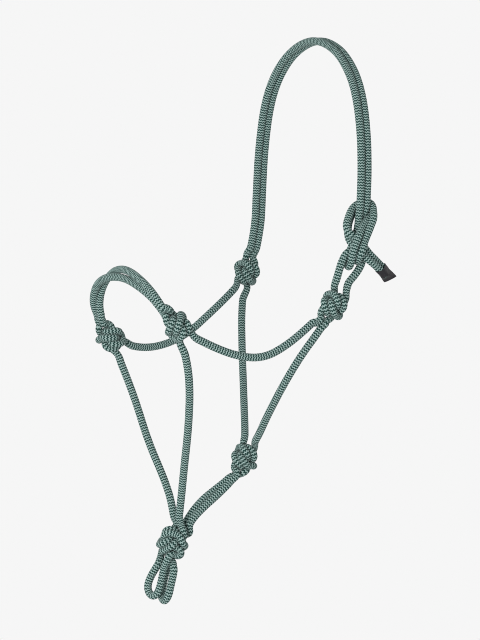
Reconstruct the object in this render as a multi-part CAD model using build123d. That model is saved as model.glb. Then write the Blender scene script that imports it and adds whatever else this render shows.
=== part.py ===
from build123d import *
import os
from math import radians, tan

# Rope halter, in millimetres. +Z is up, the horse looks along -Y and its left side is +X.
# The origin is the underside of the crown where it rests on the poll.

ROPE_D = 8.0            # braided halter rope
HITCH_D = 7.0           # the same rope where the crown hitch squeezes it
KNOT_R = 16.0           # reach of a nose, cheek or throat knot from its middle
FIADOR_R = 19.0         # reach of the fiador knot
TURN_GAP = 0.5          # room between a knot and a rope that turns against it
THROAT_GAP = 3.4        # room at the throat knot, the open end of the jaw linkage
CORNER_SHARE = 0.45     # share of the shorter run that an arc takes

CHEEK_LEFT = (102, -44, -288)
CHEEK_RIGHT = (-100, -36, -262)
NOSE_LEFT = (75, -223, -308)
NOSE_RIGHT = (-75, -226, -329)
THROAT = (0, -96, -464)
FIADOR = (0, -187, -553)

CROWN_PAIR = 8.4        # spacing of the two crown ropes, fore and aft
CROWN_END_Z = -172.0    # height where the crown runs into the hitch

CROWN_ROUTE = [
    (-100, -32, -253), (-104, -20, -214), (-109, -13, -169), (-108, -8, -113), (-95, -5, -57),
    (-69, -2, -21), (-35, 0, -1), (2, 0, 4), (40, -1, -8), (72, -3, -31), (95, -6, -60),
    (108, -9, -102), (110, -10, -142), (110, -10, CROWN_END_Z),
]
HITCH_REAR_ROUTE = [
    (110, -5.8, CROWN_END_Z), (110, -5.8, -180), (104, -8, -192), (102, -9, -206), (101, -10, -220),
    (101, -14, -232), (105, -19, -239), (112, -21, -239), (117, -19, -228), (118, -13, -214),
    (120, -4, -202), (117, 3, -190), (109, 7, -177), (100, 1, -173), (98, -12, -176),
    (99, -22, -184), (104, -28, -196), (110, -31, -207),
]
HITCH_FRONT_ROUTE = [
    (110, -14.2, CROWN_END_Z), (110, -14.2, -180), (103, -16, -192), (100, -17, -206), (99, -19, -221),
    (98, -23, -235), (102, -27, -244), (110, -28, -245), (116, -29, -232), (118, -25, -217),
    (115, -16, -205), (111, -3, -195), (104, 3, -187), (97, -4, -186), (93, -12, -188),
    (95, -21, -195), (100, -27, -204), (104, -28, -216),
]
EYE_ROUTE = [
    (100, -45, -281), (103, -42, -266), (106, -39, -252), (107, -35, -238), (108, -28, -228),
    (109, -15, -228), (108, -8, -241), (107, -17, -256), (105, -28, -270), (104, -36, -281),
]
TAIL_UPPER_ROUTE = [(112, -9, -227), (115, 0, -234), (116, 12, -245), (116, 24, -257)]
TAIL_LOWER_ROUTE = [(113, -13, -235), (116, -5, -241), (116, 6, -251), (116, 18, -263)]
TAIL_PIVOT = (112, -14, -226)
TAIL_ROOT_R = 18.0      # the tail shows from this far outside its pivot
TAIL_DIRECTION = Vector(0, 1, -1).normalized()

CHEEK_LEFT_ROUTE = [
    (76, -215, -313), (80, -192, -326), (88, -160, -340), (93, -129, -343), (96, -101, -330),
    (98, -72, -309), (98, -52, -294),
]
CHEEK_RIGHT_ROUTE = [
    (-76, -218, -333), (-78, -199, -341), (-83, -163, -343), (-87, -124, -331), (-92, -86, -304),
    (-95, -56, -281), (-96, -43, -268),
]
NOSEBAND_UPPER_ROUTE = [
    (-71, -231, -322), (-70, -238, -305), (-67, -242, -286), (-56, -243, -267), (-31, -245, -252),
    (2, -247, -246), (34, -245, -255), (61, -243, -268), (73, -236, -284), (78, -228, -300),
]
NOSEBAND_LOWER_ROUTE = [
    (-79, -232, -322), (-79, -243, -305), (-73, -251, -286), (-58, -252, -268), (-33, -252, -260),
    (0, -249, -256), (32, -248, -265), (61, -248, -278), (70, -241, -292), (70, -229, -304),
]
CHIN_LEFT_ROUTE = [
    (75, -220, -317), (73, -211, -340), (65, -202, -375), (44, -193, -423), (20, -186, -474),
    (8, -182, -510), (4, -183, -543),
]
CHIN_RIGHT_ROUTE = [
    (-75, -223, -338), (-72, -213, -363), (-61, -205, -399), (-42, -196, -444), (-22, -189, -484),
    (-9, -187, -513), (-4, -187, -543),
]
THROAT_LEFT_ROUTE = [
    (105, -48, -296), (98, -60, -317), (88, -78, -345), (70, -89, -378), (42, -92, -413),
    (17, -91, -443), (5, -94, -456),
]
THROAT_RIGHT_ROUTE = [
    (-103, -37, -271), (-97, -45, -302), (-80, -56, -350), (-53, -71, -397), (-22, -85, -436),
    (-6, -93, -456),
]
JAW_OUTER_ROUTE = [
    (-4, -99, -469), (-4, -111, -485), (-4, -132, -499), (-4, -151, -511), (-4, -167, -530),
    (-4, -178, -545),
]
JAW_INNER_ROUTE = [
    (5, -101, -471), (4, -112, -489), (4, -132, -505), (4, -151, -518), (4, -168, -534),
    (4, -178, -547),
]
LEAD_LEFT_ROUTE = [
    (4, -193, -560), (4, -199, -573), (4, -202, -590), (4, -204, -614), (14, -202, -614),
    (14, -196, -591), (12, -191, -576), (13, -187, -561),
]
LEAD_RIGHT_ROUTE = [
    (-12, -190, -561), (-13, -197, -573), (-14, -203, -584), (-14, -209, -596), (-14, -212, -612),
    (-5, -204, -613), (-5, -200, -591), (-5, -195, -576), (-3, -189, -561),
]

SLEEVE_START = Vector(116, 9, -248)
SLEEVE_LENGTH = 19.5
SLEEVE_WALL = 0.8
SLEEVE_CAP = 1.2
TAIL_PAIR = 8.6         # spacing of the two tail ropes
ROPE_TIP = 1.6          # length of each melted rope end


def rope(points, diameter=ROPE_D, name=""):
    """Tube of straight runs joined by the largest arcs that fit."""
    corners = [Vector(*p) for p in points]
    radii = []
    for before, corner, after in zip(corners, corners[1:], corners[2:]):
        run_in, run_out = corner - before, after - corner
        shorter = min(run_in.length, run_out.length)
        radii.append(CORNER_SHARE * shorter / tan(radians(run_in.get_angle(run_out)) / 2))
    path = FilletPolyline(*corners, radius=radii)
    section = Plane(origin=path @ 0, z_dir=path % 0) * Circle(diameter / 2)
    tube = sweep(section, path=path)
    expected = 3.14159 * diameter**2 / 4 * path.length
    print(f"{name:22s} length {path.length:6.1f}  least radius {min(radii):5.1f}"
          f"  volume ratio {tube.volume / expected:.4f}")
    return tube


def clear_ball(centre, radius):
    return Pos(*centre) * Sphere(radius)


def line_direction(start, end):
    return (Vector(*end) - Vector(*start)).normalized()


def knot(centre, pivot_line, reach):
    """Wraps of rope turned about the line that the neighbouring ropes pivot on."""
    side_shift = 0.56 * reach
    middle_wrap = Torus(0.66 * reach, 0.32 * reach)
    side_wrap = Torus(0.4 * reach, 0.3 * reach)
    core = Cylinder(0.45 * reach, 1.5 * reach)
    wraps = core + middle_wrap + Pos(0, 0, side_shift) * side_wrap + Pos(0, 0, -side_shift) * side_wrap
    return Plane(origin=centre, z_dir=pivot_line).location * wraps


def shifted(points, dy):
    return [(x, y + dy, z) for x, y, z in points]


def crown_strands():
    half = CROWN_PAIR / 2
    turning_ends = clear_ball(CHEEK_RIGHT, KNOT_R + TURN_GAP)
    rear = [*shifted(CROWN_ROUTE[:-1], half), HITCH_REAR_ROUTE[0]]
    front = [*shifted(CROWN_ROUTE[:-1], -half), HITCH_FRONT_ROUTE[0]]
    return {
        "crown_rope_rear": rope(rear, name="crown_rope_rear") - turning_ends,
        "crown_rope_front": rope(front, name="crown_rope_front") - turning_ends,
    }


def crown_hitch():
    eye = rope(EYE_ROUTE, HITCH_D, "eye_loop")
    return {
        "hitch_rope_rear": rope(HITCH_REAR_ROUTE, HITCH_D, "hitch_rope_rear"),
        "hitch_rope_front": rope(HITCH_FRONT_ROUTE, HITCH_D, "hitch_rope_front"),
        "eye_loop": eye - clear_ball(CHEEK_LEFT, KNOT_R + TURN_GAP),
    }


def tail_frame(distance):
    """Plane across the tail, `distance` past the sleeve's mouth, with its X from rope to rope."""
    origin = SLEEVE_START + TAIL_DIRECTION * distance
    return Plane(origin=origin, x_dir=(0, 1, 1), z_dir=TAIL_DIRECTION)


def pair_outline(clearance):
    """Outline round two ropes lying side by side."""
    height = ROPE_D + 2 * clearance
    return SlotCenterToCenter(TAIL_PAIR, height)


def tail():
    root = clear_ball(TAIL_PIVOT, TAIL_ROOT_R)
    stop = SLEEVE_LENGTH - SLEEVE_CAP - ROPE_TIP
    beyond = extrude(tail_frame(stop) * Rectangle(60, 60), 30)
    upper = rope(TAIL_UPPER_ROUTE, name="tail_rope_upper") - root - beyond
    lower = rope(TAIL_LOWER_ROUTE, name="tail_rope_lower") - root - beyond
    outside = extrude(tail_frame(0) * pair_outline(SLEEVE_WALL + 0.3), SLEEVE_LENGTH)
    inside = extrude(tail_frame(0) * pair_outline(0.3), SLEEVE_LENGTH - SLEEVE_CAP)
    ends = {}
    for label, side in (("upper", 1), ("lower", -1)):
        centre = Pos(side * TAIL_PAIR / 2, 0, 0)
        ends[f"rope_tip_{label}"] = extrude(tail_frame(stop) * (centre * Circle(0.47 * ROPE_D)), ROPE_TIP)
    return {"tail_rope_upper": upper, "tail_rope_lower": lower, "end_sleeve": outside - inside, **ends}


def lower_halter():
    """Cheek pieces, noseband, chin and throat pieces with their knots."""
    cheek_line = line_direction(CHEEK_RIGHT, CHEEK_LEFT)
    nose_line = line_direction(NOSE_RIGHT, NOSE_LEFT)
    parts = {
        "cheek_knot_left": knot(CHEEK_LEFT, cheek_line, KNOT_R),
        "cheek_knot_right": knot(CHEEK_RIGHT, cheek_line, KNOT_R),
        "nose_knot_left": knot(NOSE_LEFT, nose_line, KNOT_R),
        "nose_knot_right": knot(NOSE_RIGHT, nose_line, KNOT_R),
        "throat_knot": knot(THROAT, (1, 0, 0), KNOT_R),
        "fiador_knot": knot(FIADOR, (1, 0, 0), FIADOR_R),
    }
    turning = {
        side: clear_ball(nose, KNOT_R + TURN_GAP)
        for side, nose in (("left", NOSE_LEFT), ("right", NOSE_RIGHT))
    }
    cheek_turning = {
        side: clear_ball(cheek, KNOT_R + TURN_GAP)
        for side, cheek in (("left", CHEEK_LEFT), ("right", CHEEK_RIGHT))
    }
    routes = {
        "left": (CHEEK_LEFT_ROUTE, CHIN_LEFT_ROUTE, THROAT_LEFT_ROUTE),
        "right": (CHEEK_RIGHT_ROUTE, CHIN_RIGHT_ROUTE, THROAT_RIGHT_ROUTE),
    }
    for side, (cheek, chin, throat) in routes.items():
        knots = parts[f"nose_knot_{side}"] + parts[f"cheek_knot_{side}"]
        parts[f"cheek_rope_{side}"] = rope(cheek, name=f"cheek_rope_{side}") - knots
        chin_rope = rope(chin, name=f"chin_rope_{side}") - turning[side]
        parts[f"chin_rope_{side}"] = chin_rope - parts["fiador_knot"]
        throat_rope = rope(throat, name=f"throat_rope_{side}") - cheek_turning[side]
        parts[f"throat_rope_{side}"] = throat_rope - parts["throat_knot"]
    both = turning["left"] + turning["right"]
    parts["noseband_rope_upper"] = rope(NOSEBAND_UPPER_ROUTE, name="noseband_rope_upper") - both
    parts["noseband_rope_lower"] = rope(NOSEBAND_LOWER_ROUTE, name="noseband_rope_lower") - both
    return parts


def jaw_and_lead():
    """The doubled jaw piece and the two loops under the fiador knot."""
    open_end = clear_ball(THROAT, KNOT_R + THROAT_GAP)
    fiador = clear_ball(FIADOR, FIADOR_R + TURN_GAP)
    return {
        "jaw_rope_outer": rope(JAW_OUTER_ROUTE, name="jaw_rope_outer") - open_end - fiador,
        "jaw_rope_inner": rope(JAW_INNER_ROUTE, name="jaw_rope_inner") - open_end - fiador,
        "lead_loop_left": rope(LEAD_LEFT_ROUTE, name="lead_loop_left") - fiador,
        "lead_loop_right": rope(LEAD_RIGHT_ROUTE, name="lead_loop_right") - fiador,
    }


def main():
    os.makedirs("parts", exist_ok=True)
    parts = {**crown_strands(), **crown_hitch(), **tail(), **lower_halter(), **jaw_and_lead()}
    for name, shape in parts.items():
        export_step(shape, f"parts/{name}.step")


main()
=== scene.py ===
import math

import bpy
import numpy as np
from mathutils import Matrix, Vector


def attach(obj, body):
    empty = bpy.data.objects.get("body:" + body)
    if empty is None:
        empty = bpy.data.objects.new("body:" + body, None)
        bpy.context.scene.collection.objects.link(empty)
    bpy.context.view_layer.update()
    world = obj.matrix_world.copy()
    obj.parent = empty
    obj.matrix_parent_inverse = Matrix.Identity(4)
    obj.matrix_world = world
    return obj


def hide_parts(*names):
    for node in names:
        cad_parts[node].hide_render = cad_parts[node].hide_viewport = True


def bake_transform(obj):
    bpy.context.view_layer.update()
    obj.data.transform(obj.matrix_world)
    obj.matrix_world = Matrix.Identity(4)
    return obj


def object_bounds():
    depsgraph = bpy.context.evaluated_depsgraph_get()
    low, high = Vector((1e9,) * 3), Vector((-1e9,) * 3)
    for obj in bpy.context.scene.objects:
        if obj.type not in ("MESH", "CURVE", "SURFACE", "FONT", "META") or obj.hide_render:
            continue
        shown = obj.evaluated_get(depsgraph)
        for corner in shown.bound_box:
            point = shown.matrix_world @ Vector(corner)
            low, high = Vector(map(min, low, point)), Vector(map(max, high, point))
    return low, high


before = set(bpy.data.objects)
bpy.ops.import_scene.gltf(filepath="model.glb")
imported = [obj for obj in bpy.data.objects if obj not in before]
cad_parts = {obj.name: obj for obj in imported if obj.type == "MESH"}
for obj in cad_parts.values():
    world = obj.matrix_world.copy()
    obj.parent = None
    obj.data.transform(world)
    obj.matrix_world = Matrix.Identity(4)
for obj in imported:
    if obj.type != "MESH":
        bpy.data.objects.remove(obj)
cad_low, cad_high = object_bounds()

# Rope halter. Metres, +Z up, the horse looks along -Y and its left side is +X.

# ---------------------------------------------------------------- sizes
ROPE_D = 0.008  # braided rope
CROWN_PAIR = 0.0084  # from one crown rope's middle to the other's
ROPE_SKIN = 0.0042  # the braid's usual radius, lays of yarn included
KNOT_REACH = 0.020  # from a knot's middle to where its strands become the runs
LEG = 0.029  # from a knot's middle to where its strands are free to move
PITCH = 0.00075  # half the width of one lay of yarn, along the rope
ROUND = 32  # mesh corners round the rope: four for each wave of the braid
WAVE_RISE = 0.0013  # how far a line of yarn climbs from trough to crest
FINE = 0.00025  # step of the rope's finished centreline
BEAD = 0.0017  # step of the beads along a run before the knots are tied
SMOOTHING = 0.0022  # width over which small kinks are taken out of the finished centreline
LAY_TURN = 0.55  # the braid drifts once round the rope in this length
KNOT_TIGHT = 0.085  # share by which the rope is thinner inside a knot
TIGHT_FROM = 0.026  # from a knot's middle to where the rope starts to get thinner
TIGHT_OVER = 0.007  # length over which it does
CREST, SLOPE, GROOVE, DEEP = 0.00016, 0.00002, -0.00012, -0.00024  # the braid's heights over ROPE_SKIN
PATH_STEP = 6  # every so many points of the centreline are kept with each piece as its path
TAIL_START = 0.070  # rope from the sleeve's end back to where the tail leaves the hitch

# How a knot is pulled tight.
KNOT_SIZE = 0.004  # one unit of the open overhand knot that it starts from
KNOT_BEADS = 100  # points on each strand
KNOT_ROPE_D = 0.0077  # how far apart its strands come to lie, a little less than the rope is thick
DRAW = 0.06  # how strongly neighbouring strands in a knot are drawn side by side
SQUEEZE = 0.05  # how strongly a knot is pressed into a ball
FLATTEN = 0.1  # how strongly it is pressed together along its axis
NECK = 0.17  # share of a strand at each end that the ball doesn't draw on
NEAR_PLACES = 7  # strands are drawn together where their points are this close in number
LIST_EVERY = 4  # rounds between two searches for points that touch
LIST_REACH = 1.35  # diameters within which a search lists two points
OWN_REACH = 1.45  # diameters along a strand within which it doesn't push itself
PUSH = 0.225  # share of an overlap that each of the two points gives way in one step
EVEN_OUT = 0.25  # share of a segment's wrong length that is put right in one step
TIE_ROUNDS = 640
TIE_GROW = 420  # rounds in which the rope grows to its full thickness
SIDE_BY_SIDE = 0.014  # ends of runs nearer than this are drawn together right up to the ends
BALL = (0.0125, 0.0085)  # radius and half height of a common knot

# How the hitch is laid together.
HITCH_MIDDLE = (0.108, -0.012, -0.212)
HITCH_RADIUS = 0.075  # points nearer to its middle than this may move
HITCH_TOP = -0.150  # and only below this height
HITCH_LEAD = 12  # points before it that take part and stay where they are
HITCH_ROPE_D = 0.0076  # how far apart its ropes come to lie

# ---------------------------------------------------------------- routes
# Control points of each run's centreline, from knot to knot. They began as the routes of part.py. All but
# the right cheek's and left throat's were moved afterwards, to sit closer to the photo: by up to 8 mm, and
# by up to 14 mm in the lead loops.
CROWN_ROUTE = [
    (-0.1, -0.032, -0.253), (-0.1033, -0.0188, -0.214), (-0.1092, -0.0134, -0.169),
    (-0.1092, -0.0101, -0.113), (-0.0969, -0.0082, -0.056), (-0.0707, -0.0046, -0.0186),
    (-0.0358, -0.001, 0.0018), (0.0019, 0.0001, 0.0062), (0.0407, 0.0005, -0.0066),
    (0.0724, -0.0023, -0.0306), (0.095, -0.006, -0.06), (0.1082, -0.0087, -0.102),
    (0.1105, -0.0091, -0.142), (0.11, -0.01, -0.172),
]
HITCH_REAR_ROUTE = [
    (0.1099, -0.0058, -0.172), (0.1098, -0.0061, -0.1804), (0.106, -0.0054, -0.192),
    (0.1037, -0.0064, -0.2052), (0.1018, -0.0088, -0.2184), (0.1015, -0.0126, -0.231),
    (0.1056, -0.0178, -0.2425), (0.1136, -0.019, -0.2427), (0.1176, -0.0187, -0.2297),
    (0.1183, -0.0138, -0.2173), (0.1189, -0.0069, -0.2043), (0.1155, -0.0009, -0.1913),
    (0.1078, 0.004, -0.1789), (0.0991, 0.0004, -0.1752), (0.0978, -0.0103, -0.1782),
    (0.0995, -0.0193, -0.1843), (0.104, -0.027, -0.1956), (0.108, -0.0326, -0.2066),
]
HITCH_FRONT_ROUTE = [
    (0.11, -0.0142, -0.1721), (0.1098, -0.0144, -0.1803), (0.1069, -0.0135, -0.192),
    (0.1044, -0.0138, -0.2056), (0.1014, -0.0174, -0.221), (0.0987, -0.0221, -0.2353),
    (0.1023, -0.027, -0.2469), (0.1104, -0.0275, -0.2474), (0.1163, -0.0288, -0.2339),
    (0.1184, -0.0245, -0.2187), (0.1153, -0.0169, -0.2058), (0.1097, -0.0061, -0.1952),
    (0.1018, 0.0016, -0.1856), (0.0936, -0.0021, -0.1824), (0.092, -0.0114, -0.1862),
    (0.0954, -0.0186, -0.1943), (0.1006, -0.025, -0.204), (0.1044, -0.0269, -0.2146),
]
EYE_ROUTE = [
    (0.1001, -0.045, -0.281), (0.103, -0.042, -0.266), (0.1057, -0.0395, -0.252),
    (0.1068, -0.0353, -0.238), (0.108, -0.028, -0.228), (0.1089, -0.0152, -0.2274),
    (0.1078, -0.0084, -0.2407), (0.1069, -0.0169, -0.2544), (0.1036, -0.0303, -0.2684),
    (0.103, -0.0377, -0.281),
]
TAIL_UPPER_ROUTE = [
    (0.112, -0.0105, -0.227), (0.113, -0.0012, -0.2355), (0.1131, 0.0107, -0.2458),
    (0.1131, 0.0177, -0.2528),
]
TAIL_LOWER_ROUTE = [
    (0.113, -0.0145, -0.234), (0.1177, -0.0052, -0.2405), (0.1187, 0.0063, -0.2502),
    (0.1187, 0.0133, -0.2572),
]
SLEEVE_START = (0.1159, 0.0084, -0.2479)
SLEEVE_ALONG = (0.0, 1.0, -1.0)  # the way the tail points
SLEEVE_FLAT = (0.33, 0.667, 0.667)  # the way its pressed end is wide
SLEEVE_PAIR = (-0.0028, 0.0022, 0.0022)  # from the sleeve's middle line to one rope in it
SLEEVE_LENGTH = 0.0185
SLEEVE_CUT = 0.3  # how far its ends are cut askew, for each metre across
SLEEVE_R = 0.00505  # from one rope's middle to the sleeve's outside
SLEEVE_GRIP = 0.00025  # how much tighter it sits halfway along
SLEEVE_LIP = 0.0002  # how much wider its first edge is
PRESS_WIDER = 0.0023  # how much more than SLEEVE_R the pressed end reaches out across its width
PRESS_THINNER = 0.0029  # how much less it does across its thickness
TIP_R = 0.0041
TIP_RISE = 0.0011  # height of a melted tip's dome
TIP_ROOT = 0.0008  # how far the dome reaches back into the rope
CHEEK_LEFT_ROUTE = [
    (0.076, -0.215, -0.313), (0.08, -0.192, -0.326), (0.088, -0.16, -0.34), (0.0933, -0.1285, -0.3442),
    (0.0964, -0.1005, -0.3312), (0.0984, -0.0715, -0.3102), (0.098, -0.052, -0.294),
]
CHEEK_RIGHT_ROUTE = [
    (-0.076, -0.218, -0.333), (-0.078, -0.199, -0.341), (-0.083, -0.163, -0.343),
    (-0.087, -0.124, -0.331), (-0.092, -0.086, -0.304), (-0.095, -0.056, -0.281),
    (-0.096, -0.043, -0.268),
]
NOSEBAND_UPPER_ROUTE = [
    (-0.071, -0.2309, -0.322), (-0.0706, -0.2412, -0.306), (-0.0685, -0.2446, -0.286),
    (-0.0583, -0.2439, -0.267), (-0.034, -0.2439, -0.2514), (0.0019, -0.2472, -0.2478),
    (0.0334, -0.2464, -0.2571), (0.0608, -0.2458, -0.2701), (0.0749, -0.2411, -0.2862),
    (0.0798, -0.2311, -0.3011),
]
NOSEBAND_LOWER_ROUTE = [
    (-0.079, -0.232, -0.322), (-0.0796, -0.241, -0.3046), (-0.0728, -0.2507, -0.286),
    (-0.0565, -0.2534, -0.267), (-0.0299, -0.2544, -0.2577), (0.0001, -0.2487, -0.2571),
    (0.0318, -0.2483, -0.2644), (0.0593, -0.2447, -0.276), (0.0676, -0.2369, -0.2905),
    (0.068, -0.2263, -0.3032),
]
CHIN_LEFT_ROUTE = [
    (0.075, -0.22, -0.317), (0.073, -0.211, -0.34), (0.065, -0.202, -0.375), (0.044, -0.193, -0.423),
    (0.02, -0.186, -0.474), (0.0075, -0.1828, -0.51), (0.0029, -0.1849, -0.543),
]
CHIN_RIGHT_ROUTE = [
    (-0.075, -0.223, -0.338), (-0.072, -0.213, -0.363), (-0.0602, -0.2036, -0.399),
    (-0.0426, -0.197, -0.444), (-0.0215, -0.188, -0.484), (-0.0075, -0.1845, -0.513),
    (-0.002, -0.1836, -0.543),
]
THROAT_LEFT_ROUTE = [
    (0.105, -0.048, -0.296), (0.098, -0.06, -0.317), (0.088, -0.078, -0.345), (0.07, -0.089, -0.378),
    (0.042, -0.092, -0.413), (0.017, -0.091, -0.443), (0.005, -0.094, -0.456),
]
THROAT_RIGHT_ROUTE = [
    (-0.103, -0.037, -0.271), (-0.097, -0.045, -0.302), (-0.079, -0.0543, -0.35),
    (-0.0514, -0.0682, -0.397), (-0.0213, -0.0838, -0.436), (-0.006, -0.093, -0.456),
]
JAW_OUTER_ROUTE = [
    (-0.004, -0.099, -0.469), (-0.004, -0.111, -0.485), (-0.0043, -0.1325, -0.4984),
    (-0.0043, -0.1515, -0.5104), (-0.0047, -0.168, -0.5288), (-0.004, -0.178, -0.545),
]
JAW_INNER_ROUTE = [
    (0.005, -0.101, -0.471), (0.0031, -0.1133, -0.4874), (0.0031, -0.1333, -0.5034),
    (0.0031, -0.1523, -0.5164), (0.0028, -0.17, -0.5325), (0.004, -0.178, -0.547),
]
LEAD_LEFT_ROUTE = [
    (-0.003, -0.1915, -0.568), (-0.0065, -0.1915, -0.579), (-0.008, -0.1945, -0.5906),
    (-0.008, -0.197, -0.6014), (-0.0075, -0.2, -0.6139), (0.0025, -0.2005, -0.6184),
    (0.0105, -0.1995, -0.6094), (0.011, -0.1975, -0.5994), (0.0115, -0.1945, -0.5876),
    (0.0115, -0.1925, -0.576), (0.009, -0.1905, -0.567),
]
LEAD_RIGHT_ROUTE = [
    (-0.0035, -0.1965, -0.565), (-0.009, -0.204, -0.5796), (-0.013, -0.2105, -0.5921),
    (-0.013, -0.2145, -0.6039), (-0.0075, -0.212, -0.6129), (-0.0005, -0.208, -0.6099),
    (0.0015, -0.205, -0.5994), (0.0015, -0.2025, -0.5886), (0.002, -0.2, -0.5775),
    (0.002, -0.1975, -0.568),
]


def moved(points, offset):
    """The same points, offset along Y."""
    return [(x, y + offset, z) for x, y, z in points]


ROUTES = {
    "crown_rope_rear": moved(CROWN_ROUTE[:-1], CROWN_PAIR / 2) + HITCH_REAR_ROUTE + TAIL_UPPER_ROUTE,
    "crown_rope_front": moved(CROWN_ROUTE[:-1], -CROWN_PAIR / 2) + HITCH_FRONT_ROUTE + TAIL_LOWER_ROUTE,
    "eye_loop": EYE_ROUTE,
    "cheek_rope_left": CHEEK_LEFT_ROUTE,
    "cheek_rope_right": CHEEK_RIGHT_ROUTE,
    "noseband_rope_upper": NOSEBAND_UPPER_ROUTE,
    "noseband_rope_lower": NOSEBAND_LOWER_ROUTE,
    "chin_rope_left": CHIN_LEFT_ROUTE,
    "chin_rope_right": CHIN_RIGHT_ROUTE,
    "throat_rope_left": THROAT_LEFT_ROUTE,
    "throat_rope_right": THROAT_RIGHT_ROUTE,
    "jaw_rope_outer": JAW_OUTER_ROUTE,
    "jaw_rope_inner": JAW_INNER_ROUTE,
    "lead_loop_left": LEAD_LEFT_ROUTE,
    "lead_loop_right": LEAD_RIGHT_ROUTE,
}

# ---------------------------------------------------------------- knots
OUTWARD = (0.86, -0.5, 0.07)  # the way the belly of a common knot faces

# Each strand of a knot joins the end of one run to the end of another: 0 is a run's first end, 1 its last.
KNOTS = {
    "cheek_knot_left": dict(
        body="cheeks", centre=(0.102, -0.044, -0.288), front=OUTWARD, mirrored=False, beside=-0.3,
        strands=[(("eye_loop", 0), ("cheek_rope_left", 1)), (("eye_loop", 1), ("throat_rope_left", 0))],
    ),
    "cheek_knot_right": dict(
        body="cheeks", centre=(-0.1, -0.036, -0.262), front=OUTWARD, mirrored=False, beside=-0.3,
        strands=[
            (("crown_rope_front", 0), ("cheek_rope_right", 1)),
            (("crown_rope_rear", 0), ("throat_rope_right", 0)),
        ],
    ),
    "nose_knot_left": dict(
        body="cheeks", centre=(0.075, -0.223, -0.308), front=OUTWARD, mirrored=True, beside=0.3,
        strands=[
            (("noseband_rope_upper", 1), ("cheek_rope_left", 0)),
            (("noseband_rope_lower", 1), ("chin_rope_left", 0)),
        ],
    ),
    "nose_knot_right": dict(
        body="cheeks", centre=(-0.075, -0.226, -0.329), front=OUTWARD, mirrored=False, beside=0.3,
        strands=[
            (("noseband_rope_upper", 0), ("cheek_rope_right", 0)),
            (("noseband_rope_lower", 0), ("chin_rope_right", 0)),
        ],
    ),
    "throat_knot": dict(
        body="throat", centre=(0, -0.096, -0.464), front=OUTWARD, mirrored=False, beside=0.3,
        strands=[
            (("throat_rope_left", 1), ("jaw_rope_outer", 0)),
            (("throat_rope_right", 1), ("jaw_rope_inner", 0)),
        ],
    ),
    "fiador_knot": dict(
        body="chin", centre=(0, -0.187, -0.553), front=(0.26, -0.97, 0.05), mirrored=True, beside=0.3,
        through=(0, 3), ball=(0.016, 0.0125),
        strands=[
            (("jaw_rope_outer", 1), ("lead_loop_left", 0)),
            (("chin_rope_left", 1), ("lead_loop_left", 1)),
            (("chin_rope_right", 1), ("lead_loop_right", 0)),
            (("jaw_rope_inner", 1), ("lead_loop_right", 1)),
        ],
    ),
}

# The one rope, in order from one end of the tail to the other. A knot is named with its strand.
WHOLE_ROPE = [
    "crown_rope_front", ("cheek_knot_right", 0), "cheek_rope_right", ("nose_knot_right", 0),
    "noseband_rope_upper", ("nose_knot_left", 0), "cheek_rope_left", ("cheek_knot_left", 0), "eye_loop",
    ("cheek_knot_left", 1), "throat_rope_left", ("throat_knot", 0), "jaw_rope_outer", ("fiador_knot", 0),
    "lead_loop_left", ("fiador_knot", 1), "chin_rope_left", ("nose_knot_left", 1), "noseband_rope_lower",
    ("nose_knot_right", 1), "chin_rope_right", ("fiador_knot", 2), "lead_loop_right", ("fiador_knot", 3),
    "jaw_rope_inner", ("throat_knot", 1), "throat_rope_right", ("cheek_knot_right", 1), "crown_rope_rear",
]


# ---------------------------------------------------------------- lines
def unit(v):
    """The vector, or each row of vectors, at length 1."""
    v = np.asarray(v, float)
    return v / np.linalg.norm(v, axis=-1, keepdims=True)


def even(points, count=None, step=None):
    """The same line, with evenly spaced points."""
    points = np.asarray(points, float)
    steps = np.linalg.norm(np.diff(points, axis=0), axis=1)
    along = np.r_[0.0, np.cumsum(steps)]
    if count is None:
        count = int(round(along[-1] / step)) + 1
    at = np.linspace(0.0, along[-1], count)
    return np.stack([np.interp(at, along, points[:, k]) for k in range(3)], axis=1)


def spline_points(route):
    """Points read from the smooth NURBS line that has the route as its control points."""
    curve = bpy.data.curves.new("route", "CURVE")
    curve.dimensions = "3D"
    curve.resolution_u = 24
    spline = curve.splines.new("NURBS")
    spline.points.add(len(route) - 1)
    for point, place in zip(spline.points, route):
        point.co = (*place, 1.0)
    spline.order_u = 3
    spline.use_endpoint_u = True
    carrier = bpy.data.objects.new("route", curve)
    bpy.context.scene.collection.objects.link(carrier)
    bpy.context.view_layer.update()
    mesh = bpy.data.meshes.new_from_object(carrier)
    found = np.array([v.co for v in mesh.vertices], float).reshape(-1, 3)
    bpy.data.objects.remove(carrier)
    bpy.data.meshes.remove(mesh)
    return even(found, step=BEAD)


def knot_at(run, end):
    """The middle of the knot that this end of a run goes into, or None at the tail."""
    for label, facts in KNOTS.items():
        if any((run, end) in strand for strand in facts["strands"]):
            return np.array(facts["centre"])
    return None


def outside_knots(run, points):
    """The run without what lies inside the knots at its ends."""
    keep = np.ones(len(points), bool)
    half = len(points) // 2
    for end, part in ((0, slice(0, half)), (1, slice(half, None))):
        found = knot_at(run, end)
        if found is not None:
            keep[part] &= np.linalg.norm(points[part] - found, axis=1) > LEG
    inside = np.flatnonzero(keep)
    return points[inside[0] : inside[-1] + 1]


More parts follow.
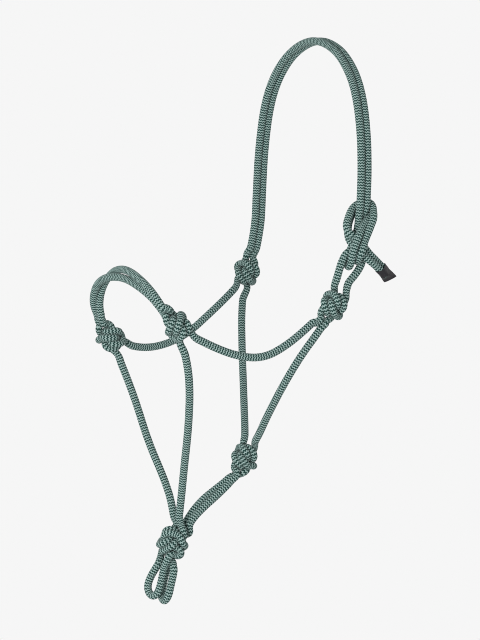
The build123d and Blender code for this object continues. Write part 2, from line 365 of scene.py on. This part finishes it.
# ---------------------------------------------------------------- pulling tight
def pull_tight(lines, held, diameter, rounds, grow, first=0.25, shorten=0.25, calm=60, ball=None):
    """Shortens the lines while they push each other a diameter apart. Held points stay.

    The rope grows from `first` of its thickness to all of it in `grow` rounds. `shorten` is how
    strongly a line pulls straight, and a quarter of that in the last `calm` rounds. `ball` is
    (middle, radius, axis, half height, from, to): the lines are drawn into it, and side by
    side between the two shares of their length."""
    counts = [len(line) for line in lines]
    x = np.vstack(lines)
    which = np.repeat(np.arange(len(lines)), counts)
    place = np.concatenate([np.arange(n) for n in counts])
    share = np.concatenate([np.linspace(0.0, 1.0, n) for n in counts])
    inner = ((share > NECK) & (share < 1 - NECK)).astype(float)[:, None]
    if ball is not None:
        drawn = ((share > ball[4]) & (share < ball[5])).astype(float)[:, None]
    free = (~np.concatenate(held))[:, None].astype(float)
    here = np.flatnonzero(which[:-1] == which[1:])
    middle = here[1:][np.diff(here) == 1]
    same = which[:, None] == which[None]
    apart = np.abs(place[:, None] - place[None])
    upper = np.triu(np.ones((len(x), len(x)), bool), 1)
    partner = ~same & (apart <= NEAR_PLACES)
    for n in range(rounds):
        d = diameter * min(1.0, first + (1 - first) * n / grow)
        seg = np.linalg.norm(x[here + 1] - x[here], axis=1)
        reach = max(2, int(np.ceil(OWN_REACH * d / seg.mean())))
        pull = np.zeros_like(x)
        strength = shorten if n < rounds - calm else 0.25 * shorten
        pull[middle] = strength * (0.5 * (x[middle - 1] + x[middle + 1]) - x[middle])
        x += pull * free
        if n % LIST_EVERY == 0:
            square = (x**2).sum(1)
            d2 = square[:, None] + square[None] - 2 * x @ x.T
            a, b = np.nonzero(upper & ~(same & (apart <= reach)) & (d2 < (LIST_REACH * d) ** 2))
            if ball is not None:
                beside = np.where(partner, d2, np.inf)
                nearest = beside.argmin(1)
        if ball is not None:
            out = x - ball[0]
            size = np.linalg.norm(out, axis=1, keepdims=True) + 1e-9
            x -= SQUEEZE * np.clip(size - ball[1], 0, d) * out / size * free * inner
            high = (x - ball[0]) @ ball[2]
            over = high - np.clip(high, -ball[3], ball[3])
            x -= FLATTEN * np.clip(over, -d, d)[:, None] * ball[2] * free * inner
            gap = x[nearest] - x
            size = np.linalg.norm(gap, axis=1, keepdims=True) + 1e-9
            x += DRAW * np.clip(size - d, 0, d) * gap / size * free * drawn
        for _ in range(4):
            v = x[a] - x[b]
            dist = np.linalg.norm(v, axis=1) + 1e-9
            hit = dist < d
            step = v[hit] / dist[hit, None] * (PUSH * (d - dist[hit]))[:, None]
            push = np.zeros_like(x)
            np.add.at(push, a[hit], step)
            np.add.at(push, b[hit], -step)
            x += push * free
            span = x[here + 1] - x[here]
            size = np.linalg.norm(span, axis=1) + 1e-9
            mean = np.bincount(which[here], size) / np.bincount(which[here])
            fix = span * (EVEN_OUT * (size - mean[which[here]]) / size)[:, None]
            spread = np.zeros_like(x)
            spread[here] += fix
            spread[here + 1] -= fix
            x += spread * free
    return np.split(x, np.cumsum(counts)[:-1])


def overhand():
    """An open overhand knot: legs along +z and -z, and its belly towards -y. About 4 units across."""
    t = np.linspace(1.93, -1.93, 90)
    return np.stack([t**3 - 3 * t, t**4 - 4 * t**2 + 2, 2 * (t**5 / 5 - 2 * t)], axis=1)


def tie_knot(label, ends):
    """The strands of one knot, pulled tight between the ends of its runs."""
    facts = KNOTS[label]
    centre = np.array(facts["centre"])
    tops = [ends[a] for a, _ in facts["strands"]]
    lows = [ends[b] for _, b in facts["strands"]]
    axis = unit(np.mean([p for p, _ in tops], axis=0) - np.mean([p for p, _ in lows], axis=0))
    front = np.array(facts["front"], float)
    front = unit(front - axis * (front @ axis))
    side = np.cross(front, axis)
    base = overhand() * KNOT_SIZE
    if facts["mirrored"]:
        base = base * [-1, 1, 1]
    core = base[:, :1] * side - base[:, 1:2] * front + base[:, 2:] * axis
    across = unit(np.cross(unit(np.gradient(core, axis=0)), core - core.mean(axis=0)))
    lines = []
    held = []
    through = facts.get("through", ())
    wound = [k for k in range(len(tops)) if k not in through]
    for k, ((p, _), (q, _)) in enumerate(zip(tops, lows)):
        middle = centre[None]
        if k in wound:
            beside = facts["beside"] * ROPE_D * (wound.index(k) - (len(wound) - 1) / 2)
            middle = centre + core + across * beside
        path = even(np.vstack([[p], middle, [q]]), KNOT_BEADS)
        fixed = np.zeros(len(path), bool)
        fixed[[0, -1]] = True
        lines.append(path)
        held.append(fixed)
    spans = [np.linalg.norm(np.ptp([p for p, _ in group], axis=0)) for group in (tops, lows)]
    radius, half = facts.get("ball", BALL)
    drawn_from = -0.1 if spans[0] < SIDE_BY_SIDE else NECK
    drawn_to = 1.1 if spans[1] < SIDE_BY_SIDE else 1 - NECK
    ball = (centre, radius, axis, half, drawn_from, drawn_to)
    return pull_tight(lines, held, KNOT_ROPE_D, rounds=TIE_ROUNDS, grow=TIE_GROW, ball=ball)


def settle_hitch(runs):
    """Lays the hitch's ropes, the tail and the eye against each other, and leaves the rest alone."""
    labels = ["crown_rope_rear", "crown_rope_front", "eye_loop"]
    lines = []
    held = []
    cut = []
    for label in labels:
        line = runs[label]
        near = np.linalg.norm(line - HITCH_MIDDLE, axis=1) < HITCH_RADIUS
        near &= line[:, 2] < HITCH_TOP
        first = max(np.flatnonzero(near)[0] - HITCH_LEAD, 0)
        piece = line[first:]
        fixed = ~near[first:]
        fixed[[0, 1, -2, -1]] = True
        lines.append(piece)
        held.append(fixed)
        cut.append(first)
    done = pull_tight(lines, held, HITCH_ROPE_D, rounds=160, grow=60, first=0.8, shorten=0.05)
    for label, first, line in zip(labels, cut, done):
        runs[label] = np.vstack([runs[label][:first], line])


def end_of(runs, run, end):
    """(point, direction away from the knot) at one end of a run."""
    line = runs[run] if end == 0 else runs[run][::-1]
    return line[0], unit(line[2] - line[0])


# ---------------------------------------------------------------- the whole rope
def smooth(line, width):
    """The line with its small kinks taken out over about `width`."""
    reach = int(3 * width / FINE)
    weight = np.exp(-0.5 * (np.arange(-reach, reach + 1) * FINE / width) ** 2)
    weight /= weight.sum()
    longer = np.vstack([np.repeat(line[:1], reach, 0), line, np.repeat(line[-1:], reach, 0)])
    return np.stack([np.convolve(longer[:, k], weight, mode="valid") for k in range(3)], axis=1)


def carried_frames(line):
    """Two cross directions all along the line, with no twist but the braid's slow drift."""
    tangent = unit(np.gradient(line, axis=0))
    side = np.zeros_like(line)
    side[0] = unit(np.cross(tangent[0], (0.3, 0.9, 0.2)))
    for n in range(1, len(line)):
        v = side[n - 1] - tangent[n] * (side[n - 1] @ tangent[n])
        side[n] = v / math.sqrt(v @ v)
    turn = 2 * math.pi * np.arange(len(line)) * FINE / LAY_TURN
    other = np.cross(tangent, side)
    return (
        side * np.cos(turn)[:, None] + other * np.sin(turn)[:, None],
        other * np.cos(turn)[:, None] - side * np.sin(turn)[:, None],
    )


def join_rope(runs, knots):
    """One centreline through every run and knot, and where each piece starts and ends on it."""
    centres = {label: np.array(facts["centre"]) for label, facts in KNOTS.items()}
    at = [runs[step] if isinstance(step, str) else knots[step[0]][step[1]] for step in WHOLE_ROPE]
    joined = [at[0][::-1]]  # the first run starts at the tail, its last point
    starts = []
    for line in at[1:]:
        last = joined[-1][-1]
        if np.linalg.norm(line[0] - last) > np.linalg.norm(line[-1] - last):
            line = line[::-1]
        starts.append(sum(map(len, joined)))
        joined.append(line[1:])
    whole = np.vstack(joined)
    along = np.r_[0.0, np.cumsum(np.linalg.norm(np.diff(whole, axis=0), axis=1))]
    ends = [0.0]
    for step, first, last in zip(WHOLE_ROPE[1:], starts, starts[1:] + [len(whole)]):
        if not isinstance(step, str):
            near = np.linalg.norm(whole[first:last] - centres[step[0]], axis=1) < KNOT_REACH
            within = np.flatnonzero(near) + first
            ends += [along[within[0]], along[within[-1]]]
    ends.append(along[-1])
    count = int(along[-1] / FINE)
    share = count * FINE / along[-1]
    return smooth(even(whole, count=count + 1), SMOOTHING), [e * share for e in ends]


def rope_rings(line, side, other, first, last):
    """Corners of the braid's rings from number `first` to `last`: ridges where a yarn lies on top."""
    rings = np.arange(first, last + 1)
    corner = np.arange(ROUND)
    wave = np.array([0.0, 0.5, 1.0, 0.5])[corner % 4]
    place = (rings[:, None] * PITCH + (wave[None] - 0.5) * WAVE_RISE) / FINE
    place = np.clip(place, 0, len(line) - 1.001)
    low = place.astype(int)
    part = (place - low)[..., None]
    middle = line[low] * (1 - part) + line[low + 1] * part
    a = side[low] * (1 - part) + side[low + 1] * part
    b = other[low] * (1 - part) + other[low + 1] * part
    angle = 2 * math.pi * corner / ROUND
    ridge = (rings % 2 == 0)[:, None]
    mid_lay = (corner % 2 == 1)[None]
    height = np.where(ridge, np.where(mid_lay, CREST, SLOPE), np.where(mid_lay, GROOVE, DEEP))
    centres = np.array([facts["centre"] for facts in KNOTS.values()])
    gap = np.linalg.norm(middle[:, :1] - centres[None], axis=2).min(1)
    tight = 1.0 - KNOT_TIGHT * np.clip((TIGHT_FROM - gap) / TIGHT_OVER, 0, 1)
    radius = (ROPE_SKIN + height)[..., None] * tight[:, None, None]
    return middle + radius * (a * np.cos(angle)[None, :, None] + b * np.sin(angle)[None, :, None])


def add_rope(name, corners, first, material):
    """A mesh tube of the given rings, with its yarn layout as a UV layer named braid."""
    rings, around = corners.shape[:2]
    verts = corners.reshape(-1, 3)
    r = np.repeat(np.arange(rings - 1), around)
    c = np.tile(np.arange(around), rings - 1)
    n = (c + 1) % around
    faces = np.stack([r * around + c, r * around + n, (r + 1) * around + n, (r + 1) * around + c], axis=1)
    uv_u = np.stack([c, c + 1, c + 1, c], axis=1) / 2.0
    uv_v = np.stack([r, r, r + 1, r + 1], axis=1) / 2.0 + (first / 2.0)
    mesh = bpy.data.meshes.new(name)
    mesh.vertices.add(len(verts))
    mesh.vertices.foreach_set("co", verts.astype(np.float32).ravel())
    mesh.loops.add(faces.size)
    mesh.loops.foreach_set("vertex_index", faces.astype(np.int32).ravel())
    mesh.polygons.add(len(faces))
    mesh.polygons.foreach_set("loop_start", np.arange(0, faces.size, 4, dtype=np.int32))
    mesh.polygons.foreach_set("use_smooth", np.ones(len(faces), bool))
    layer = mesh.uv_layers.new(name="braid")
    uv = np.stack([uv_u.ravel(), uv_v.ravel()], axis=1)
    layer.data.foreach_set("uv", uv.astype(np.float32).ravel())
    mesh.update(calc_edges=True)
    mesh.materials.append(material)
    piece = bpy.data.objects.new(name, mesh)
    bpy.context.scene.collection.objects.link(piece)
    return piece


# ---------------------------------------------------------------- materials
class Nodes:
    """Short names for building a material's nodes."""

    def __init__(self, name):
        self.material = bpy.data.materials.new(name)
        self.material.use_nodes = True
        self.tree = self.material.node_tree
        self.shader = next(n for n in self.tree.nodes if n.type == "BSDF_PRINCIPLED")

    def add(self, kind, **settings):
        node = self.tree.nodes.new(kind)
        for key, value in settings.items():
            setattr(node, key, value)
        return node

    def put(self, value, socket):
        if isinstance(value, (int, float, tuple)):
            socket.default_value = value
        else:
            self.tree.links.new(value, socket)

    def math(self, operation, a, b=0.0, c=0.0):
        node = self.add("ShaderNodeMath", operation=operation)
        for socket, value in zip(node.inputs, (a, b, c)):
            self.put(value, socket)
        return node.outputs[0]

    def mix(self, share, a, b):
        node = self.add("ShaderNodeMix", data_type="RGBA")
        self.put(share, node.inputs[0])
        self.put(a, node.inputs[6])
        self.put(b, node.inputs[7])
        return node.outputs[2]

    def noise(self, where, scale, detail=3.0):
        node = self.add("ShaderNodeTexNoise")
        self.put(where, node.inputs["Vector"])
        node.inputs["Scale"].default_value = scale
        node.inputs["Detail"].default_value = detail
        return node.outputs["Fac"]

    def spread(self, value, low, high, to_low=0.0, to_high=1.0):
        node = self.add("ShaderNodeMapRange", interpolation_type="SMOOTHSTEP")
        for socket, number in zip(node.inputs, (value, low, high, to_low, to_high)):
            self.put(number, socket)
        return node.outputs[0]

    def bump(self, height, strength, distance):
        node = self.add("ShaderNodeBump")
        node.inputs["Strength"].default_value = strength
        node.inputs["Distance"].default_value = distance
        self.put(height, node.inputs["Height"])
        return node.outputs[0]


DARK_YARN = ((0.007, 0.034, 0.029, 1.0), (0.02, 0.082, 0.07, 1.0))  # its fibres' darker and lighter tone
PALE_YARN = ((0.245, 0.37, 0.345, 1.0), (0.48, 0.63, 0.60, 1.0))
CREASE_SHADE = (0.003, 0.010, 0.009, 1.0)  # painted shade, mixed in where the grooves between two lays of yarn and the edges between the braid's columns sink in


def braid_material():
    """Dark and pale lays of yarn in turn, running round the rope in waves, with painted shade darkening
    the grooves between the lays and the edges between the columns.
    """
    m = Nodes("braided_rope")
    layer = m.add("ShaderNodeUVMap", uv_map="braid")
    part = m.add("ShaderNodeSeparateXYZ")
    m.put(layer.outputs[0], part.inputs[0])
    u, v = part.outputs[0], part.outputs[1]
    where = m.add("ShaderNodeTexCoord").outputs["Object"]
    wander = m.math("MULTIPLY", m.math("SUBTRACT", m.noise(where, 900.0), 0.5), 0.22)
    v = m.math("ADD", v, wander)
    lay = m.math("COSINE", m.math("MULTIPLY", v, math.pi))
    pale = m.spread(lay, -0.30, 0.12, 1.0, 0.0)
    across = m.math("ABSOLUTE", m.math("SINE", m.math("MULTIPLY", u, math.pi)))
    groove = m.math("ABSOLUTE", lay)
    threads = m.math("SINE", m.math("MULTIPLY", v, 6 * math.pi))
    fibre = m.math("ADD", m.noise(where, 2600.0, 2.0), m.math("MULTIPLY", threads, 0.12))
    light = m.spread(fibre, 0.2, 0.85, 0.0, 1.0)
    pale_tone = m.mix(light, *PALE_YARN)
    dark_tone = m.mix(light, *DARK_YARN)
    colour = m.mix(pale, dark_tone, pale_tone)
    # Painted shade: the colour darkens towards near black in the grooves between lays and at the edges
    # between columns.
    groove_shade = m.spread(groove, 0.0, 0.35, 0.5, 0.0)
    edge = m.spread(across, 0.0, 0.4, 0.45, 0.0)
    colour = m.mix(m.math("MAXIMUM", groove_shade, edge), colour, CREASE_SHADE)
    m.put(colour, m.shader.inputs["Base Color"])
    m.shader.inputs["Roughness"].default_value = 0.82
    m.shader.inputs["Sheen Weight"].default_value = 0.06
    m.shader.inputs["Specular IOR Level"].default_value = 0.2
    m.shader.inputs["Sheen Roughness"].default_value = 0.5
    height = m.math("ADD", m.math("MULTIPLY", groove, 0.6), m.math("MULTIPLY", fibre, 0.5))
    m.put(m.bump(height, 0.5, 0.0003), m.shader.inputs["Normal"])
    return m.material


def sleeve_material():
    """Matte black shrink tube with faint scuffs."""
    m = Nodes("black_sleeve")
    where = m.add("ShaderNodeTexCoord").outputs["Object"]
    scuff = m.spread(m.noise(where, 420.0, 6.0), 0.45, 0.75)
    colour = m.mix(scuff, (0.011, 0.009, 0.013, 1.0), (0.025, 0.021, 0.029, 1.0))
    m.put(colour, m.shader.inputs["Base Color"])
    m.put(m.spread(scuff, 0.0, 1.0, 0.42, 0.62), m.shader.inputs["Roughness"])
    m.put(m.bump(m.noise(where, 300.0, 4.0), 0.25, 0.0004), m.shader.inputs["Normal"])
    return m.material


def tip_material():
    """A melted rope end: dark, glassy and lumpy."""
    m = Nodes("melted_tip")
    where = m.add("ShaderNodeTexCoord").outputs["Object"]
    lump = m.noise(where, 700.0, 4.0)
    m.put(m.mix(lump, (0.012, 0.03, 0.026, 1.0), (0.07, 0.11, 0.10, 1.0)), m.shader.inputs["Base Color"])
    m.shader.inputs["Roughness"].default_value = 0.35
    m.put(m.bump(lump, 0.6, 0.0005), m.shader.inputs["Normal"])
    return m.material


# ---------------------------------------------------------------- camera, light, floor
def set_camera():
    """Looks from the front of the horse's left side, slightly from above."""
    target = Vector((0, -0.1027, -0.3088))
    azimuth = math.radians(60)
    elevation = math.radians(4)
    distance = 2.5
    back = Vector((
        math.sin(azimuth) * math.cos(elevation),
        -math.cos(azimuth) * math.cos(elevation),
        math.sin(elevation),
    ))
    data = bpy.data.cameras.new("camera")
    data.lens = 125.6
    data.sensor_width = 36
    data.clip_start, data.clip_end = 0.05, 50
    camera = bpy.data.objects.new("camera", data)
    camera.location = target + back * distance
    camera.rotation_mode = "QUATERNION"
    camera.rotation_quaternion = (-back).to_track_quat("-Z", "Y")
    bpy.context.scene.collection.objects.link(camera)
    bpy.context.scene.camera = camera


def add_light(name, place, size, power):
    """A soft round lamp that faces the halter's middle."""
    data = bpy.data.lights.new(name, "AREA")
    data.shape = "DISK"
    data.size = size
    data.energy = power
    lamp = bpy.data.objects.new(name, data)
    lamp.location = place
    aim = Vector((0, -0.1, -0.3)) - lamp.location
    lamp.rotation_mode = "QUATERNION"
    lamp.rotation_quaternion = aim.to_track_quat("-Z", "Y")
    bpy.context.scene.collection.objects.link(lamp)


BACKDROP = (0.9216, 0.9216, 0.9216)
ROOM_LIGHT = 0.62  # how much of the backdrop's light falls on the halter


def dim_for_the_halter(tree, strength):
    """Full brightness where the camera sees the room, and less where the room lights the halter."""
    ray = tree.nodes.new("ShaderNodeLightPath")
    scale = tree.nodes.new("ShaderNodeMath")
    scale.operation = "MULTIPLY_ADD"
    scale.inputs[1].default_value = 1.0 - ROOM_LIGHT
    scale.inputs[2].default_value = ROOM_LIGHT
    tree.links.new(ray.outputs["Is Camera Ray"], scale.inputs[0])
    tree.links.new(scale.outputs[0], strength)


def set_studio():
    """A pale room with one soft key light and a softer fill, and a floor of the room's own tone."""
    scene = bpy.context.scene
    scene.view_settings.view_transform = "Standard"
    scene.cycles.denoising_prefilter = "NONE"  # the usual prefilter wipes the fine braid out
    scene.cycles.filter_width = 1.0
    world = bpy.data.worlds.new("studio")
    world.use_nodes = True
    ground = next(n for n in world.node_tree.nodes if n.type == "BACKGROUND")
    ground.inputs["Color"].default_value = (*BACKDROP, 1.0)
    dim_for_the_halter(world.node_tree, ground.inputs["Strength"])
    scene.world = world
    add_light("key", (1.4, -1.9, -0.35), 0.7, 28.5)
    add_light("fill", (-1.6, -1.2, 0.6), 1.2, 6)
    mesh = bpy.data.meshes.new("floor")
    half = 12.0
    low = cad_low.z - 0.04
    corners = [(-half, -half, low), (half, -half, low), (half, half, low), (-half, half, low)]
    mesh.from_pydata(corners, [], [(0, 1, 2, 3)])
    material = bpy.data.materials.new("floor")
    material.use_nodes = True
    tree = material.node_tree
    tree.nodes.clear()
    glow = tree.nodes.new("ShaderNodeEmission")
    glow.inputs["Color"].default_value = (*BACKDROP, 1.0)
    dim_for_the_halter(tree, glow.inputs["Strength"])
    out = tree.nodes.new("ShaderNodeOutputMaterial")
    tree.links.new(glow.outputs[0], out.inputs["Surface"])
    mesh.materials.append(material)
    floor = bpy.data.objects.new("floor", mesh)
    scene.collection.objects.link(floor)


# ---------------------------------------------------------------- building
NOSEBAND_TURN = ((-0.0022, -0.2332, -0.3017), (-0.0078, -0.2555, -0.2585))
CROWN_TURN = ((-0.1, -0.03, -0.25), (-0.07, -0.03, -0.21))
JAW_TURN = ((0, -0.172, -0.538), (0, -0.145, -0.508))
LEAD_TURN = ((0, -0.193, -0.5725), (0, -0.2015, -0.616))

# For each run: the two bodies it lies across, and where it turns from the first to the second.
BLENDS = {
    "crown_rope_rear": ("cheeks", "crown", *CROWN_TURN),
    "crown_rope_front": ("cheeks", "crown", *CROWN_TURN),
    "eye_loop": ("cheeks", "crown", (0.104, -0.04, -0.269), (0.106, -0.034, -0.238)),
    "noseband_rope_upper": ("cheeks", "noseband", *NOSEBAND_TURN),
    "noseband_rope_lower": ("cheeks", "noseband", *NOSEBAND_TURN),
    "chin_rope_left": ("cheeks", "chin", (0.075, -0.223, -0.33), (0.065, -0.2, -0.37)),
    "chin_rope_right": ("cheeks", "chin", (-0.075, -0.223, -0.35), (-0.065, -0.2, -0.39)),
    "throat_rope_left": ("cheeks", "throat", (0.1, -0.055, -0.305), (0.09, -0.07, -0.34)),
    "throat_rope_right": ("cheeks", "throat", (-0.1, -0.04, -0.28), (-0.09, -0.05, -0.32)),
    "jaw_rope_outer": ("chin", "jaw", *JAW_TURN),
    "jaw_rope_inner": ("chin", "jaw", *JAW_TURN),
    "lead_loop_left": ("chin", "lead_left", *LEAD_TURN),
    "lead_loop_right": ("chin", "lead_right", *LEAD_TURN),
}
STANDS_FOR = {
    "crown_rope_rear": ("crown_rope_rear", "hitch_rope_rear"),
    "crown_rope_front": ("crown_rope_front", "hitch_rope_front"),
}


def lay_out_rope():
    """The finished centreline of the whole rope, and where each run and knot starts and ends on it."""
    runs = {label: spline_points(route) for label, route in ROUTES.items()}
    runs = {label: outside_knots(label, line) for label, line in runs.items()}
    settle_hitch(runs)
    knots = {}
    for label, facts in KNOTS.items():
        ends = {end: end_of(runs, *end) for strand in facts["strands"] for end in strand}
        knots[label] = tie_knot(label, ends)
    return join_rope(runs, knots)


def cut_into_spans(ends):
    """(piece, first ring, last ring) all along the rope. A knot comes once for each of its strands."""
    marks = [int(round(e / PITCH)) for e in ends]
    spans = []
    for step, first, last in zip(WHOLE_ROPE, marks[:-1], marks[1:]):
        label = step if isinstance(step, str) else step[0]
        if label == "crown_rope_front":
            cut = first + int(TAIL_START / PITCH)
            spans += [("tail_rope_lower", first, cut), (label, cut, last)]
        elif label == "crown_rope_rear":
            cut = last - int(TAIL_START / PITCH)
            spans += [(label, first, cut), ("tail_rope_upper", cut, last)]
        else:
            spans.append((label, first, last))
    return spans


def joined_pieces(made):
    """The given objects as one: the first, with the others joined to it."""
    if len(made) > 1:
        with bpy.context.temp_override(
            active_object=made[0], selected_objects=made, selected_editable_objects=made
        ):
            bpy.ops.object.join()
    return made[0]


def build_rope():
    """Every run and knot: one rope is laid out and tied, then cut into the named pieces."""
    line, ends = lay_out_rope()
    side, other = carried_frames(line)
    yarn = braid_material()
    meshes = {}
    for label, first, last in cut_into_spans(ends):
        corners = rope_rings(line, side, other, first, last)
        middle = line[int(first * PITCH / FINE) : int(last * PITCH / FINE) + 1 : PATH_STEP]
        meshes.setdefault(label, []).append((corners, first, middle))
    for label, parts in meshes.items():
        made = [add_rope(f"{label}.braid", corners, first, yarn) for corners, first, _ in parts]
        piece = joined_pieces(made)
        piece.name = f"{label}.braid"
        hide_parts(*STANDS_FOR.get(label, (label,)))
        if label in KNOTS:
            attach(piece, KNOTS[label]["body"])
            continue
        if label in BLENDS:
            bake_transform(piece)
        elif label.startswith("tail"):
            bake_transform(piece)
        else:
            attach(piece, "cheeks")


def add_solid(name, verts, faces, material):
    """A smooth-shaded mesh object of the given corners and faces."""
    mesh = bpy.data.meshes.new(name)
    mesh.from_pydata([tuple(v) for v in verts], [], faces)
    mesh.materials.append(material)
    mesh.polygons.foreach_set("use_smooth", [True] * len(mesh.polygons))
    piece = bpy.data.objects.new(name, mesh)
    bpy.context.scene.collection.objects.link(piece)
    return piece


def build_sleeve():
    """The shrink tube round the two rope ends: snug over the ropes, and pressed flat at its far end."""
    along = unit(SLEEVE_ALONG)
    wide = unit(SLEEVE_PAIR)
    thin = np.cross(along, wide)
    flat = unit(SLEEVE_FLAT)
    flat = unit(flat - along * (flat @ along))
    deep = np.cross(along, flat)
    half = float(np.linalg.norm(SLEEVE_PAIR))
    turns = 96
    rings = 66
    angle = 2 * math.pi * np.arange(turns) / turns
    about = angle + math.atan2(wide @ deep, wide @ flat)
    verts = []

    def ring(place, radius, press):
        """One ring of corners: round the two ropes at press 0, and a flat oval at press 1."""
        shrug = radius + 0.00007 * np.sin(3 * angle + 900 * place)
        shrug = shrug + 0.00005 * np.sin(7 * angle - 2100 * place)
        x = np.clip(8 * np.cos(angle), -1, 1) * half + shrug * np.cos(angle)
        y = shrug * np.sin(angle)
        offset = x[:, None] * wide + y[:, None] * thin
        across = (radius + PRESS_WIDER) * np.sign(np.cos(about)) * np.abs(np.cos(about)) ** 0.7
        through = (radius - PRESS_THINNER) * np.sin(about)
        pressed = across[:, None] * flat + through[:, None] * deep
        offset = offset + (pressed - offset) * press
        cut = SLEEVE_CUT * (offset @ flat)
        verts.extend(np.array(SLEEVE_START) + along * (place + cut)[:, None] + offset)

    for n in range(rings):
        part = n / (rings - 1)
        grip = SLEEVE_GRIP * math.exp(-(((part - 0.42) / 0.2) ** 2))
        press = min(max((part - 0.45) / 0.5, 0.0), 1.0)
        press = press * press * (3 - 2 * press)
        ring(SLEEVE_LENGTH * part, SLEEVE_R - grip + SLEEVE_LIP * max(0.0, 1 - part / 0.05), press)
    # The far end turns in over its rim to a shallow closed floor.
    ring(SLEEVE_LENGTH + 0.0001, 0.0048, 1.0)
    ring(SLEEVE_LENGTH, 0.0044, 1.0)
    ring(SLEEVE_LENGTH - 0.0015, 0.0041, 1.0)
    outside = len(verts)
    # The near end turns in round the ropes.
    ring(0.00002, 0.00465, 0.0)
    ring(0.0012, 0.00445, 0.0)
    faces = []
    rows = outside // turns
    pairs = [(r, r + 1) for r in range(rows - 1)] + [(rows, 0), (rows + 1, rows)]
    faces.append(tuple(range((rows - 1) * turns, rows * turns)))
    for first, second in pairs:
        for c in range(turns):
            d = (c + 1) % turns
            faces.append((first * turns + c, first * turns + d, second * turns + d, second * turns + c))
    piece = add_solid("end_sleeve.tube", verts, faces, sleeve_material())
    piece.data.set_sharp_from_angle(angle=math.radians(40))
    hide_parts("end_sleeve")
    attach(piece, "tail")


def build_tips():
    """The melted ends of the two ropes: lumpy domes inside the sleeve."""
    along = unit(SLEEVE_ALONG)
    wide = unit(SLEEVE_PAIR)
    thin = np.cross(along, wide)
    melted = tip_material()
    turns = 40
    rings = 10
    angle = 2 * math.pi * np.arange(turns) / turns
    for label, route in (("rope_tip_upper", TAIL_UPPER_ROUTE), ("rope_tip_lower", TAIL_LOWER_ROUTE)):
        end = np.array(route[-1])
        verts = [tuple(end - along * TIP_ROOT)]
        for n in range(rings):
            part = 0.5 * math.pi * n / rings
            lump = 1 + 0.03 * np.sin(3 * angle + n) + 0.02 * np.sin(5 * angle - 2 * n)
            radius = TIP_R * math.cos(part) * lump
            height = TIP_RISE * math.sin(part) if n else -TIP_ROOT
            around = np.cos(angle)[:, None] * wide + np.sin(angle)[:, None] * thin
            verts.extend(map(tuple, end + along * height + radius[:, None] * around))
        verts.append(tuple(end + along * TIP_RISE))
        faces = []
        for c in range(turns):
            d = (c + 1) % turns
            faces.append((0, 1 + d, 1 + c))
            for n in range(rings - 1):
                low, high = 1 + n * turns, 1 + (n + 1) * turns
                faces.append((low + c, low + d, high + d, high + c))
            top = 1 + (rings - 1) * turns
            faces.append((top + c, top + d, len(verts) - 1))
        piece = add_solid(label + ".melt", verts, faces, melted)
        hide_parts(label)
        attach(piece, "tail")


def main():
    """The camera, the room and every piece of the halter."""
    set_camera()
    set_studio()
    build_rope()
    build_sleeve()
    build_tips()


main()
